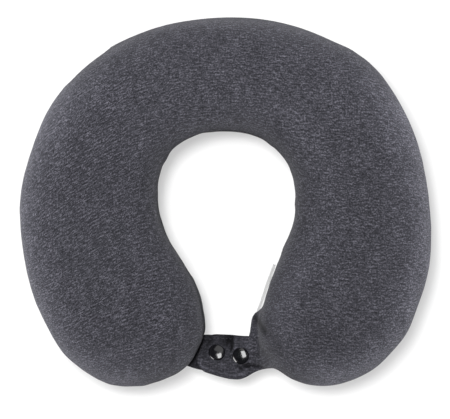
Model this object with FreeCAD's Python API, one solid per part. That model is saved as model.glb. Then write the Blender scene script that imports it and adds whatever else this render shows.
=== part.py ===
# A U shaped neck pillow: a moulded memory-foam core in a thin liner, inside a removable
# heathered knit cover with a coil zip round the back and a two-snap strap across the front.
#
# Frame: the pillow lies flat on its underside. +Z is up, +Y is the back of the neck, the mouth
# of the U is at -Y and X runs from arm to arm. The origin is the centre of the footprint, on the
# surface the pillow rests on. Millimetres throughout.

import FreeCAD, Part
import math
import os

V = FreeCAD.Vector

# ---------------------------------------------------------------- driving dimensions
height = 104.0            # loft of the pillow lying flat
edge_round = 38.0         # radius of the rolled top and bottom edges

back_radius = 168.0       # outer wall: the flatter stretch behind the neck
back_half_angle = 31.0
shoulder_radius = 127.5   # outer wall: where the back turns into the arm
shoulder_angle = 39.0
side_radius = 175.0       # outer wall: the long side of the arm
side_angle = 55.0
tip_radius = 55.0         # rounded tip of each arm
neck_radius = 52.0        # the hole for the neck
back_thickness = 82.5     # from the hole to the outer wall, behind the neck

cover_wall = 1.5          # brushed knit with its thin backing
liner_gap = 0.5           # ease between cover and liner
liner_wall = 0.5
foam_gap = 0.1

seam_z = height / 2       # both panels meet half way up

zip_half_angle = 29.0     # the opening, measured from the middle of the back
zip_opening = 4.4         # half height of the slot in the cover
zip_recess = 3.9          # the zip lies this deep between the turned-in edges of the cover
tape_wall = 0.4
tape_height = 11.5        # from the middle of the zip to the sewn edge of the tape
chain_gap = 0.6           # half gap between the two rows, where the slider's post runs
coil_height = 2.0
coil_pitch = 2.0
coil_notch = 0.6
chain_closed_end = 27.3   # degrees, last turn of the coil at the closed end
chain_open_end = -24.3
stop_gap = 0.2            # degrees between the coil and its stops
stop_span = 0.6
slider_rest = 25.7        # degrees, slider at the closed end
slider_length = 9.0
slider_half_width = 3.8
slider_plate = 0.8
running_gap = 0.3
pin_radius = 0.6
pin_height = 2.0          # pull pin above the face of the coil
pull_length = 16.0
pull_half_width = 3.2
pull_wall = 1.2

ply = 1.2                 # face and back fabric of the straps
interfacing = 0.6
strap_wall = 2 * ply + interfacing
strap_gap = 4.6           # between the two straps, filled by socket and stud
upper_z = seam_z + 1.6    # underside of the upper strap
lower_z = upper_z - strap_gap
upper_hinge_x = 20.0      # fold lines of the straps
lower_hinge_x = -21.0
strap_y = -111.0          # where the strap's long middle line lies
snaps = ((-6.7, -110.9), (10.9, -113.8))

cap_radius = 6.2
cap_edge = 0.8
cap_crown = 1.8
post_radius = 0.9
post_hole = 0.95
socket_radius = 5.35
socket_bore = 2.85
socket_base = 0.6
stud_flange = 0.9
stud_ball = 2.2
stud_neck = 1.7
stud_well = 1.2

label_wall = 0.3
label_drop = 24.0
label_y = (-88.0, -46.0)

os.makedirs("parts", exist_ok=True)


def save(name, shape):
    """Write one piece, or one group of identical pieces, as its own node."""
    shape = shape.removeSplitter() if shape.ShapeType == "Solid" else shape
    shape.exportStep(f"parts/{name}.step")
    print(f"{name:24s} {len(shape.Solids)} solid(s) {shape.Volume:12.1f} mm3  valid {shape.isValid()}")


# ---------------------------------------------------------------- plan of the U
def on_circle(centre, radius, angle):
    """Point on a circle, angle in degrees anticlockwise from +X."""
    a = math.radians(angle)
    return V(centre.x + radius * math.cos(a), centre.y + radius * math.sin(a), 0)


def plan_arcs():
    """Centres and sweeps of the tangent arcs of the right half, back to neck, before centring."""
    back = V(0, -back_radius, 0)
    a1 = 90 - back_half_angle
    shoulder = on_circle(back, back_radius - shoulder_radius, a1)
    a2 = a1 - shoulder_angle
    side = on_circle(shoulder, shoulder_radius - side_radius, a2)
    a3 = a2 - side_angle
    tip = on_circle(side, side_radius - tip_radius, a3)
    neck = V(0, -back_thickness - neck_radius, 0)
    reach = neck - tip
    lean = math.degrees(math.asin((tip_radius + neck_radius) / math.hypot(reach.x, reach.y)))
    heading = math.degrees(math.atan2(reach.y, reach.x)) - lean
    return back, shoulder, side, tip, neck, (a1, a2, a3, heading)


back_c, shoulder_c, side_c, tip_c, neck_c, sweeps = plan_arcs()
shift = V(0, (tip_radius - tip_c.y) / 2, 0)
back_c, shoulder_c, side_c, tip_c, neck_c = (c + shift for c in (back_c, shoulder_c, side_c, tip_c, neck_c))


def outline(inset):
    """Closed wire of the plan, drawn in by inset all round (negative draws it outward)."""
    a1, a2, a3, heading = sweeps
    right = (
        (back_c, back_radius - inset, 90, a1),
        (shoulder_c, shoulder_radius - inset, a1, a2),
        (side_c, side_radius - inset, a2, a3),
        (tip_c, tip_radius - inset, a3, heading + 90 - 360),
    )
    edges = []
    for centre, radius, start, end in right:
        ends = [on_circle(centre, radius, a) for a in (start, (start + end) / 2, end)]
        edges.append(Part.Arc(*ends).toShape())
    wall_end = on_circle(neck_c, neck_radius + inset, heading - 90)
    edges.append(Part.makeLine(edges[-1].Vertexes[-1].Point, wall_end))
    middle = on_circle(neck_c, neck_radius + inset, heading / 2)
    crown = on_circle(neck_c, neck_radius + inset, 90)
    edges.append(Part.Arc(wall_end, middle, crown).toShape())
    left = [e.mirror(V(0, 0, 0), V(1, 0, 0)) for e in edges]
    return Part.Wire(Part.__sortEdges__(edges + left))


def prism(inset, z0, z1):
    """Straight-walled solid over the plan."""
    wire = outline(inset)
    wire.translate(V(0, 0, z0))
    return Part.Face(wire).extrude(V(0, 0, z1 - z0))


def pillow(inset):
    """The pillow's body with its rolled edges, drawn in by inset on every side."""
    body = prism(inset, inset, height - inset)
    rims = [e for e in body.Edges if abs(e.BoundBox.ZMax - e.BoundBox.ZMin) < 0.01]
    return body.makeFillet(edge_round - inset, rims)


# ---------------------------------------------------------------- helpers for the curved zip
def band(r0, r1, z0, z1, a0, a1):
    """Piece of a ring about the back's centre; angles run from the middle of the back to +X."""
    turn = a1 - a0
    base = V(back_c.x, back_c.y, z0)
    outer = Part.makeCylinder(r1, z1 - z0, base, V(0, 0, 1), turn)
    inner = Part.makeCylinder(r0, z1 - z0, base, V(0, 0, 1), turn)
    ring = outer.cut(inner)
    ring.rotate(base, V(0, 0, 1), 90 - a1)
    return ring


def box(x0, x1, y0, y1, z0, z1):
    return Part.makeBox(x1 - x0, y1 - y0, z1 - z0, V(x0, y0, z0))


def about_seam(near, far):
    """The two z ranges that lie near..far above and below the middle of the zip."""
    return (seam_z + near, seam_z + far), (seam_z - far, seam_z - near)


zip_radius = back_radius - zip_recess
tape_out = zip_radius - cover_wall
tape_in = tape_out - tape_wall
plate_out = zip_radius + running_gap
back_plate = tape_in - running_gap


# ---------------------------------------------------------------- foam and liner
def zip_channel(grow):
    """Room behind the zip: a wide step for the tapes and a narrow one for the slider's back plate."""
    reach = zip_half_angle + 1.0 + math.degrees(grow / back_radius)
    room = None
    for depth, half in ((tape_in - 0.1, tape_height + 0.3),
                        (back_plate - slider_plate - running_gap, slider_half_width + 0.5)):
        step = band(depth - grow, back_radius + 5, seam_z - half - grow, seam_z + half + grow,
                    -reach, reach)
        room = step if room is None else room.fuse(step)
    return room


liner_inset = cover_wall + liner_gap
liner_outer = pillow(liner_inset).cut(zip_channel(0.0))
liner_inner = pillow(liner_inset + liner_wall).cut(zip_channel(liner_wall))
save("inner_liner", liner_outer.cut(liner_inner))
save("foam_core", pillow(liner_inset + liner_wall + foam_gap).cut(zip_channel(liner_wall + foam_gap)))

# ---------------------------------------------------------------- cover, two panels and zip slot
body_solid = pillow(0.0)
shell = body_solid.cut(pillow(cover_wall))
slot = band(back_radius - 5, back_radius + 5, seam_z - zip_opening, seam_z + zip_opening,
            -zip_half_angle, zip_half_angle)
shell = shell.cut(slot)


def turned_edge(z0, z1):
    """Edge of the cover folded in along the slot, down to the tape it is sewn to."""
    return band(tape_out, back_radius - 0.5, z0, z1, -zip_half_angle, zip_half_angle)


edge_above, edge_below = about_seam(zip_opening, zip_opening + cover_wall)


def plan_prism(points, z0, z1):
    """Straight-walled solid over a closed polygon of (x, y) points."""
    corners = [V(x, y, z0) for x, y in points]
    face = Part.Face(Part.makePolygon(corners + corners[:1]))
    return face.extrude(V(0, 0, z1 - z0))


strap_end = strap_wall + 0.4
snout_right = (
    (upper_hinge_x + strap_end, strap_y + 7.0),
    (40.0, strap_y + 7.0),
    (60.0, strap_y - 16.0),
    (40.0, strap_y - 14.0),
    (32.0, strap_y - 13.0),
    (upper_hinge_x + strap_end, strap_y - 15.0),
)
snout_left = (
    (lower_hinge_x - strap_end, strap_y + 5.0),
    (-40.0, strap_y + 5.0),
    (-52.0, strap_y - 14.0),
    (lower_hinge_x - strap_end, strap_y - 14.0),
)
snout_upper = plan_prism(snout_right, upper_z, upper_z + strap_wall).cut(body_solid)
snout_lower = plan_prism(snout_left, lower_z - strap_wall, lower_z).cut(body_solid)
above = box(-400, 400, -400, 400, seam_z, height + 10)
below = box(-400, 400, -400, 400, -10, seam_z)
cover_top = shell.common(above).multiFuse([snout_upper, turned_edge(*edge_above)]).removeSplitter()
cover_bottom = shell.common(below).multiFuse([snout_lower, turned_edge(*edge_below)]).removeSplitter()
save("cover_top_panel", cover_top)
save("cover_bottom_panel", cover_bottom)

# ---------------------------------------------------------------- blank care label
label = prism(-label_wall - 0.02, seam_z - label_drop, seam_z)
label = label.cut(prism(-0.02, seam_z - label_drop - 1, seam_z + 1))
label = label.common(box(0, 60, label_y[0], label_y[1], 0, height))
save("care_label", label)

# ---------------------------------------------------------------- zip
tape_edges = about_seam(chain_gap, tape_height)
coil_edges = about_seam(chain_gap, chain_gap + coil_height)
stop_edges = about_seam(chain_gap, chain_gap + coil_height + 0.3)


def tape(z_range):
    return band(tape_in, tape_out, z_range[0], z_range[1], -zip_half_angle - 0.6, zip_half_angle + 0.6)


def coil(z_range, outward):
    """One row of the coil: a bar with a notch between every two turns, on its closing edge."""
    bar = band(tape_out, zip_radius - 0.1, z_range[0], z_range[1], chain_open_end, chain_closed_end)
    step = math.degrees(coil_pitch / zip_radius)
    count = int((chain_closed_end - chain_open_end) / step)
    notch = math.degrees(coil_notch / zip_radius)
    z0 = z_range[0] - 1 if outward > 0 else z_range[1] - 1.2
    z1 = z_range[0] + 1.2 if outward > 0 else z_range[1] + 1
    cuts = []
    for i in range(count):
        a = chain_open_end + (i + 0.7) * step
        cuts.append(band(zip_radius - 0.9, zip_radius + 1, z0, z1, a, a + notch))
    return bar.cut(Part.makeCompound(cuts))


tape_upper = tape(tape_edges[0])
tape_lower = tape(tape_edges[1])
save("zip_tape_upper", tape_upper)
save("zip_tape_lower", tape_lower)
save("zip_coil_upper", coil(coil_edges[0], 1))
save("zip_coil_lower", coil(coil_edges[1], -1))


def stop(z0, z1, a0, a1):
    """A stop crimped round the tape, front and back."""
    clamp = band(tape_in - 0.5, zip_radius + 0.2, z0, z1, a0, a1)
    return clamp.cut(tape_upper).cut(tape_lower)


top_stop_at = chain_closed_end + stop_gap
top_stops = [stop(z0, z1, top_stop_at, top_stop_at + stop_span) for z0, z1 in stop_edges]
save("zip_top_stops", Part.makeCompound([s for group in top_stops for s in group.Solids]))
foot = chain_gap + coil_height + 0.3
bottom_stop_at = chain_open_end - stop_gap
save("zip_bottom_stop", stop(seam_z - foot, seam_z + foot, bottom_stop_at - stop_span, bottom_stop_at))


def slider():
    """Slider body: front plate with side walls, centre post, back plate and the bail."""
    half = math.degrees(slider_length / 2 / zip_radius)
    post = 0.6
    rim = chain_gap + coil_height + running_gap
    pieces = [band(plate_out, plate_out + slider_plate, seam_z - slider_half_width,
                   seam_z + slider_half_width, -half, half),
              band(back_plate - slider_plate, back_plate, seam_z - slider_half_width,
                   seam_z + slider_half_width, -half, half),
              band(back_plate, plate_out, seam_z - 0.3, seam_z + 0.3, -post, post)]
    for z0, z1 in about_seam(rim, slider_half_width):
        pieces.append(band(tape_out + running_gap, plate_out, z0, z1, -half, half))
    foot_r = plate_out + slider_plate
    top_r = zip_radius + pin_height + pin_radius + running_gap
    for a0, a1 in ((-1.0, -0.6), (0.6, 1.0)):
        pieces.append(band(foot_r, top_r, seam_z - 1.0, seam_z + 1.0, a0, a1))
    pieces.append(band(top_r, top_r + 0.8, seam_z - 1.0, seam_z + 1.0, -1.0, 1.0))
    body = pieces[0].multiFuse(pieces[1:]).removeSplitter()
    return body


def pull():
    """Pull tab: a pin through the bail, two side arms and a flat tab with a rounded end."""
    y = back_c.y + zip_radius + pin_height
    pin = Part.makeCylinder(pin_radius, 4.8, V(0, y, seam_z - 2.4))
    pieces = [box(-5.0, 0, y - pull_wall / 2, y + pull_wall / 2, z0, z1)
              for z0, z1 in about_seam(1.4, 2.4)]
    tab = box(-pull_length + pull_half_width, -4.2, y - pull_wall / 2, y + pull_wall / 2,
              seam_z - pull_half_width, seam_z + pull_half_width)
    end = V(-pull_length + pull_half_width, y - pull_wall / 2, seam_z)
    pieces.append(tab)
    pieces.append(Part.makeCylinder(pull_half_width, pull_wall, end, V(0, 1, 0)))
    body = pin.multiFuse(pieces)
    return body.cut(Part.makeCylinder(1.3, 3, end - V(0, 1, 0), V(0, 1, 0))).removeSplitter()


for name, piece in (("zip_slider", slider()), ("zip_pull", pull())):
    piece.rotate(back_c, V(0, 0, 1), -slider_rest)
    save(name, piece)


# ---------------------------------------------------------------- straps
def strap_plan(points, arc):
    """Closed face of a strap: straight edges along points, then a bowed free end through arc."""
    edges = [Part.makeLine(V(*a, 0), V(*b, 0)) for a, b in zip(points, points[1:])]
    bow = [V(*points[-1], 0), V(*arc, 0), V(*points[0], 0)]
    edges.append(Part.Arc(*bow).toShape())
    return Part.Face(Part.Wire(edges))


def strap(prefix, plan, hinge_x, side, z_fold, up):
    """Three plies of a strap, rounded about the fold line; side is where the root lies."""
    keep = box(-100, hinge_x, -200, 0, 0, height) if side > 0 else box(hinge_x, 100, -200, 0, 0, height)
    roll = Part.makeCylinder(strap_wall, 200, V(hinge_x, -200, z_fold), V(0, 1, 0))
    keep = keep.fuse(roll)
    layers = (("back", ply), ("interfacing", interfacing), ("face", ply))
    z = z_fold if up else z_fold - strap_wall
    for name, wall in layers if up else layers:
        sheet = plan.copy()
        sheet.translate(V(0, 0, z))
        sheet = sheet.extrude(V(0, 0, wall)).common(keep)
        for x, y in snaps:
            sheet = sheet.cut(Part.makeCylinder(post_hole, wall + 2, V(x, y, z - 1)))
        save(f"{prefix}_{name}", sheet)
        z += wall


upper_plan = strap_plan(
    ((-16.0, strap_y + 13.5), (12.0, strap_y + 12.0), (20.0, strap_y + 7.0), (23.0, strap_y + 7.0),
     (23.0, strap_y - 15.0), (20.0, strap_y - 15.0), (12.0, strap_y - 19.0), (3.0, strap_y - 19.0),
     (-15.5, strap_y - 14.5)),
    (-21.5, strap_y - 0.5))
lower_plan = strap_plan(
    ((13.0, strap_y - 14.0), (-24.0, strap_y - 14.0), (-24.0, strap_y + 4.5), (-21.0, strap_y + 4.5),
     (-14.0, strap_y + 10.0), (13.0, strap_y + 10.0)),
    (18.5, strap_y - 2.0))
strap("upper_strap", upper_plan, upper_hinge_x, 1, upper_z, True)
strap("lower_strap", lower_plan, lower_hinge_x, -1, lower_z, False)


# ---------------------------------------------------------------- snaps
def turned(profile, x, y, z, flip=False):
    """Solid turned about a vertical axis from (radius, height) points; flip hangs it downward."""
    sign = -1 if flip else 1
    points = [V(x + r, y, z + sign * h) for r, h in profile]
    face = Part.Face(Part.makePolygon(points + points[:1]))
    return face.revolve(V(x, y, z), V(0, 0, 1), 360)


def cap(x, y, z, post_length, head_radius, head, flip=False):
    """Snap cap: a low dome with a post through the strap, its end flattened to a rivet head."""
    sign = -1 if flip else 1
    rise = cap_crown - cap_edge
    dome_radius = (cap_radius ** 2 + rise ** 2) / (2 * rise)
    up = V(0, 0, sign)
    disc = Part.makeCylinder(cap_radius, cap_crown, V(x, y, z), up)
    dome = Part.makeSphere(dome_radius, V(x, y, z + sign * (cap_crown - dome_radius)))
    post = Part.makeCylinder(post_radius, post_length, V(x, y, z), up * -1)
    tail = V(x, y, z - sign * (post_length - head))
    rivet = Part.makeCylinder(head_radius, head, tail, up * -1)
    return disc.common(dome).fuse(post).fuse(rivet).removeSplitter()


def socket(x, y):
    """Socket under the upper strap: a ring with a base plate the cap's post is riveted to."""
    deep = strap_gap - stud_flange - running_gap
    return turned(((post_hole, 0), (socket_radius, 0), (socket_radius, -deep + 0.5),
                   (socket_radius - 0.5, -deep), (socket_bore, -deep), (socket_bore, -socket_base),
                   (post_hole, -socket_base)), x, y, upper_z)


def stud(x, y):
    """Stud on the lower strap: a flange and a hollow bulged boss that fills the socket."""
    base = turned(((post_hole, 0), (socket_radius, 0), (socket_radius, stud_flange - 0.3),
                   (socket_radius - 0.3, stud_flange), (post_hole, stud_flange)), x, y, lower_z)
    ball_z = lower_z + 2.1
    neck = Part.makeCylinder(stud_neck, 2.1, V(x, y, lower_z))
    ball = Part.makeSphere(stud_ball, V(x, y, ball_z))
    ball = ball.common(box(x - 5, x + 5, y - 5, y + 5, ball_z - 1.0, ball_z + 1.1))
    well = Part.makeCylinder(stud_well, 6, V(x, y, lower_z + stud_flange))
    bore = Part.makeCylinder(post_hole, 4, V(x, y, lower_z - 1))
    return base.fuse(neck).fuse(ball).cut(well).cut(bore).removeSplitter()


upper_top = upper_z + strap_wall
lower_bottom = lower_z - strap_wall
caps = [cap(x, y, upper_top, strap_wall + socket_base + 0.4, 1.7, 0.4) for x, y in snaps]
posts = [cap(x, y, lower_bottom, strap_wall + stud_flange + 0.4, 1.1, 0.4, True) for x, y in snaps]
save("snap_caps", Part.makeCompound(caps))
save("snap_sockets", Part.makeCompound([socket(x, y) for x, y in snaps]))
save("snap_studs", Part.makeCompound([stud(x, y) for x, y in snaps]))
save("snap_post_caps", Part.makeCompound(posts))

whole = body_solid.optimalBoundingBox()
print(f"overall {whole.XLength:.2f} x {whole.YLength:.2f} x {whole.ZLength:.2f} mm, "
      f"centre {whole.Center.x:.3f} {whole.Center.y:.3f}")
print(f"back centre {back_c.y:.3f}, tip {tip_c.x:.2f} {tip_c.y:.2f}, neck centre {neck_c.y:.3f}")
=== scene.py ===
# %% [markdown]
# # A U shaped travel neck pillow
# The real object is a moulded block of memory foam inside a thin knit sock, inside a removable
# cover of heathered charcoal jersey. The cover is cut as two flat U shaped panels, an upper and a
# lower, and sewn together half way up. The frame that is loaded here holds every piece as a plain
# engineering solid with its joints. This lesson gives the soft pieces their real surface: cloth that
# is stretched over foam, pulled in at its seam, and gathered where the strap grows out of it.

# %% Load the frame
import math

import bmesh
import bpy
import numpy as np
from mathutils import Matrix, Vector


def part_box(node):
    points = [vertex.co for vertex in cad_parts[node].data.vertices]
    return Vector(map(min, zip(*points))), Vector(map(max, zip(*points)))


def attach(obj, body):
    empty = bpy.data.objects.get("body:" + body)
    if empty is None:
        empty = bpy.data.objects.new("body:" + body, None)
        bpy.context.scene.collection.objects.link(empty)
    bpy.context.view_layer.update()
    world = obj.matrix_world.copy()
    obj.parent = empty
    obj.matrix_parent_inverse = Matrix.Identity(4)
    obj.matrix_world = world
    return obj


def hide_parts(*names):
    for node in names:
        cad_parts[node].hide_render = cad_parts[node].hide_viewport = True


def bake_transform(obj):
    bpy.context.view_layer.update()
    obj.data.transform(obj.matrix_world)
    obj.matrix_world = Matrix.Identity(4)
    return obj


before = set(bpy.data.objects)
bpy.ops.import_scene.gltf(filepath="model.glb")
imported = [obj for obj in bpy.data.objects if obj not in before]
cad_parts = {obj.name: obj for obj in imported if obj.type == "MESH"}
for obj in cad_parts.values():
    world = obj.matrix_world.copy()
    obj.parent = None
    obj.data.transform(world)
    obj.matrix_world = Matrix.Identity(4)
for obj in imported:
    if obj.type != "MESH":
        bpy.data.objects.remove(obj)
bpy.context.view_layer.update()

scene = bpy.context.scene

# %% [markdown]
# Every size below is in metres. The plan of the pillow is a chain of arcs that run into each other
# without a corner: back, shoulder, side and tip on the outside, a round hole for the neck on the
# inside. The same chain drawn in by some distance gives every ring of the body, so one function is
# enough for the cloth, the sock and the foam.

# %% Sizes of the pillow
MM = 0.001
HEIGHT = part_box("cover_top_panel")[1][2]
SEAM_Z = HEIGHT / 2
EDGE_ROUND = 38 * MM
BACK_R, SHOULDER_R, SIDE_R, TIP_R, NECK_R = (r * MM for r in (168.0, 127.5, 175.0, 55.0, 52.0))
BACK_TURN, SHOULDER_TURN, SIDE_TURN = 31.0, 39.0, 55.0
BACK_THICKNESS = 82.5 * MM
UPPER_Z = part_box("upper_strap_back")[0][2]
UPPER_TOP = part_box("upper_strap_face")[1][2]
LOWER_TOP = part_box("lower_strap_face")[1][2]
LOWER_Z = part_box("lower_strap_back")[0][2]
print("loft", round(HEIGHT / MM), "mm, seam at", round(SEAM_Z / MM), "mm, neck hole", 2 * NECK_R / MM, "mm")

# %% [markdown]
# Two arcs run into each other without a corner when their join lies on the line through both
# centres. So each centre follows from the one before it, its radius and how far the arc turns.

# %% The plan
def polar(centre, radius, degrees):
    a = math.radians(degrees)
    return np.array([centre[0] + radius * math.cos(a), centre[1] + radius * math.sin(a)])


def plan_centres():
    """Centres of the arcs and the angles where one arc runs into the next."""
    back = np.array([0.0, -BACK_R])
    a1 = 90 - BACK_TURN
    shoulder = polar(back, BACK_R - SHOULDER_R, a1)
    a2 = a1 - SHOULDER_TURN
    side = polar(shoulder, SHOULDER_R - SIDE_R, a2)
    a3 = a2 - SIDE_TURN
    tip = polar(side, SIDE_R - TIP_R, a3)
    neck = np.array([0.0, -BACK_THICKNESS - NECK_R])
    reach = neck - tip
    lean = math.degrees(math.asin((TIP_R + NECK_R) / np.hypot(*reach)))
    heading = math.degrees(math.atan2(reach[1], reach[0])) - lean
    shift = np.array([0.0, (TIP_R - tip[1]) / 2])
    return [c + shift for c in (back, shoulder, side, tip, neck)], (a1, a2, a3, heading)


CENTRES, ANGLES = plan_centres()
BACK_C, SHOULDER_C, SIDE_C, TIP_C, NECK_C = CENTRES


def plan(inset, step=2.0):
    """Points of the closed plan, drawn in by inset; step is their spacing in degrees."""
    a1, a2, a3, heading = ANGLES
    arcs = ((BACK_C, BACK_R - inset, 90, a1), (SHOULDER_C, SHOULDER_R - inset, a1, a2),
            (SIDE_C, SIDE_R - inset, a2, a3), (TIP_C, TIP_R - inset, a3, heading - 270))
    right = []
    for centre, radius, start, end in arcs:
        count = max(2, int(abs(end - start) / step))
        right += [polar(centre, radius, start + (end - start) * i / count) for i in range(count)]
    tip_end = polar(TIP_C, TIP_R - inset, heading - 270)
    neck_start = polar(NECK_C, NECK_R + inset, heading - 90)
    right += [tip_end + (neck_start - tip_end) * t for t in np.linspace(0, 1, 12)[:-1]]
    count = int((180 - heading) / step)
    right += [polar(NECK_C, NECK_R + inset, heading - 90 + (180 - heading) * i / count)
              for i in range(count + 1)]
    left = [np.array([-p[0], p[1]]) for p in right[-2:0:-1]]
    return np.array(right + left)


OUTLINE = plan(0.0, 0.5)
print("plan", len(OUTLINE), "points,", np.round(np.ptp(OUTLINE, axis=0) * 1000, 1), "mm")

# %% [markdown]
# Much of what follows asks how far a point of the cloth is from the outline, and which way is out.
# A small search over the outline's points answers both for all vertices at once.

# %% Distance from the outline
OUT_NEXT = np.roll(OUTLINE, -1, axis=0) - np.roll(OUTLINE, 1, axis=0)
OUT_NORMAL = np.stack([-OUT_NEXT[:, 1], OUT_NEXT[:, 0]], 1)
OUT_NORMAL /= np.linalg.norm(OUT_NORMAL, axis=1)[:, None]
BLOCK = 4000


def nearest_on(points, line):
    """Index of the line's point nearest to each (x, y) point, and how far away it is."""
    index, square = np.empty(len(points), int), np.empty(len(points))
    for i in range(0, len(points), BLOCK):
        gap = ((points[i:i + BLOCK, None] - line[None]) ** 2).sum(2)
        index[i:i + BLOCK], square[i:i + BLOCK] = gap.argmin(1), gap.min(1)
    return index, np.sqrt(square)


def from_outline(points):
    """Inset, outward direction and nearest station of each (x, y) point."""
    nearest, _ = nearest_on(points, OUTLINE)
    normal = OUT_NORMAL[nearest]
    inset = -((points - OUTLINE[nearest]) * normal).sum(1)
    return inset, normal, nearest


print("inset of the seat of the neck", np.round(from_outline(NECK_C[None])[0] / MM, 1), "mm")

# %% [markdown]
# Two small curves fade things in and out all through the lesson: a step that starts and ends softly,
# and a bump that dies away with distance.

# %% Soft steps and bumps
def smooth(t):
    t = np.clip(t, 0, 1)
    return t * t * (3 - 2 * t)


def bump(distance, width):
    return np.exp(-(distance / width) ** 2)


print("a step at its quarter", smooth(0.25), "and a bump at its width", round(float(bump(1, 1)), 3))

# %% [markdown]
# Cloth is never quite even. A sum of a few sine waves with fixed directions gives slow, repeatable
# unevenness that can be asked for at any point, with no table and no random state to keep.

# %% Slow unevenness
def waves(points, size, seed, count=6):
    """Smooth noise of about the given feature size, between about -1 and 1."""
    rng = np.random.default_rng(seed)
    total = np.zeros(len(points))
    for _ in range(count):
        direction = rng.normal(size=points.shape[1])
        direction *= rng.uniform(0.7, 1.4) * 2 * math.pi / size / np.linalg.norm(direction)
        total += np.sin(points @ direction + rng.uniform(0, 6.28))
    return total / math.sqrt(count * 2)


print("two waves 20 mm apart", np.round(waves(np.array([[0.0, 0.0], [0.02, 0.0]]), 85 * MM, 11), 2))

# %% [markdown]
# Shapes are worked out as arrays of points and handed to Blender in one go, which is far quicker than
# moving vertices one by one. These helpers read and write the points, make a mesh, turn its faces
# outwards, store a value or a map on it, and make modifiers part of it.

# %% Mesh helpers
def co_of(mesh):
    co = np.empty(len(mesh.vertices) * 3, np.float64)
    mesh.vertices.foreach_get("co", co)
    return co.reshape(-1, 3)


def set_co(mesh, co):
    mesh.vertices.foreach_set("co", co.astype(np.float32).ravel())
    mesh.update()


def new_piece(name, mesh):
    obj = bpy.data.objects.new(name, mesh)
    scene.collection.objects.link(obj)
    return obj


def smooth_faces(mesh):
    mesh.polygons.foreach_set("use_smooth", [True] * len(mesh.polygons))
    mesh.update()


def new_mesh(name, verts, faces, edges=()):
    mesh = bpy.data.meshes.new(name)
    mesh.from_pydata(verts, edges, faces)
    mesh.update()
    return mesh


def face_out(mesh, weld=0.0):
    """Turn a closed mesh's faces outwards, once the points closer than weld are one."""
    bm = bmesh.new()
    bm.from_mesh(mesh)
    if weld:
        bmesh.ops.remove_doubles(bm, verts=bm.verts, dist=weld)
    bmesh.ops.recalc_face_normals(bm, faces=bm.faces)
    bm.to_mesh(mesh)
    bm.free()
    smooth_faces(mesh)
    return mesh


def store(mesh, name, values):
    layer = mesh.attributes.new(name, "FLOAT", "POINT")
    layer.data.foreach_set("value", np.asarray(values, np.float32).ravel())


def store_map(mesh, name, flat):
    layer = mesh.uv_layers.new(name=name)
    loops = np.empty(len(mesh.loops), int)
    mesh.loops.foreach_get("vertex_index", loops)
    layer.data.foreach_set("uv", flat[loops].astype(np.float32).ravel())


def applied(obj):
    """Make the object's modifiers part of its mesh."""
    graph = bpy.context.evaluated_depsgraph_get()
    mesh = bpy.data.meshes.new_from_object(obj.evaluated_get(graph))
    old = obj.data
    obj.modifiers.clear()
    obj.data = mesh
    mesh.name = obj.name
    bpy.data.meshes.remove(old)
    return mesh


# %% [markdown]
# The body of the pillow is a stack of rings: the plan drawn in along a rounded profile, closed on
# top and underneath by a flat U. Foam of this kind is moulded with rolled edges, so the profile is a
# wall, a roll and a nearly flat top.

# %% The body as rings
def roll_profile(inset):
    """(inset, height) from the middle of the underside's rim up to the rim of the top."""
    radius = EDGE_ROUND - inset
    low, high = inset, HEIGHT - inset
    turns = np.radians(np.linspace(0, 90, 9))
    up = [(inset + radius - radius * math.sin(a), low + radius - radius * math.cos(a)) for a in turns]
    walls = [(inset, low + radius + (high - low - 2 * radius) * t) for t in (0.25, 0.5, 0.75)]
    down = [(i, high + low - z) for i, z in reversed(up)]
    return up + walls + down


def body_mesh(name, inset):
    """Closed mesh of the pillow, drawn in by inset on every side."""
    profile = roll_profile(inset)
    rings = [plan(ring_inset, 3.0) for ring_inset, _ in profile]
    count = len(rings[0])
    top = (len(rings) - 1) * count
    faces = []
    for a in range(0, top, count):
        b = a + count
        faces += [(a + i, b + i, b + (i + 1) % count, a + (i + 1) % count) for i in range(count)]
    faces.append(tuple(range(count)))
    faces.append(tuple(top + i for i in reversed(range(count))))
    return new_mesh(name, [(p[0], p[1], z) for ring, (_, z) in zip(rings, profile) for p in ring], faces)


print("rings of the body", len(roll_profile(0.0)), "of", len(plan(0.0, 3.0)), "points")

# %% [markdown]
# The cloth's pattern needs to know where each point lay on the flat panel, before it was pulled over
# the foam's edge. That is worked out from the point's place on the rolled edge, and stored as a map.

# %% A map for the cloth
LEFT_ASKEW, RIGHT_ASKEW = 2.6, 0.5


def flat_cloth_map(mesh):
    """UV map in metres: where each point lay on the flat panel before it was pulled over the edge.

    The last term is the cloth's grain, which runs straight across the back and is pulled askew
    where the left arm's cloth was eased round the foam."""
    co = co_of(mesh)
    inset, normal, _ = from_outline(co[:, :2])
    up = np.abs(co[:, 2] - SEAM_Z)
    roll_z = HEIGHT / 2 - EDGE_ROUND
    level = np.maximum(EDGE_ROUND - inset, 0)
    angle = np.arctan2(level, np.maximum(up - roll_z, 1e-5))
    run = EDGE_ROUND * np.clip(angle, 0, math.pi / 2) + np.maximum(roll_z - up, 0)
    over = inset < EDGE_ROUND
    flat = co[:, :2] + normal * np.where(over, run - level, 0)[:, None]
    x = co[:, 0]
    flat[:, 1] += LEFT_ASKEW * np.minimum(x, 0) ** 2 + RIGHT_ASKEW * np.maximum(x, 0) ** 2
    drawn_out = (smooth((38 * MM - x) / (8 * MM)) * smooth((-86 * MM - co[:, 1]) / (6 * MM))
                 * smooth((SEAM_Z + 24 * MM - co[:, 2]) / (10 * MM)) * (x > 0))[:, None]
    store_map(mesh, "cloth", flat + (co[:, :2] - flat) * drawn_out)
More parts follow.
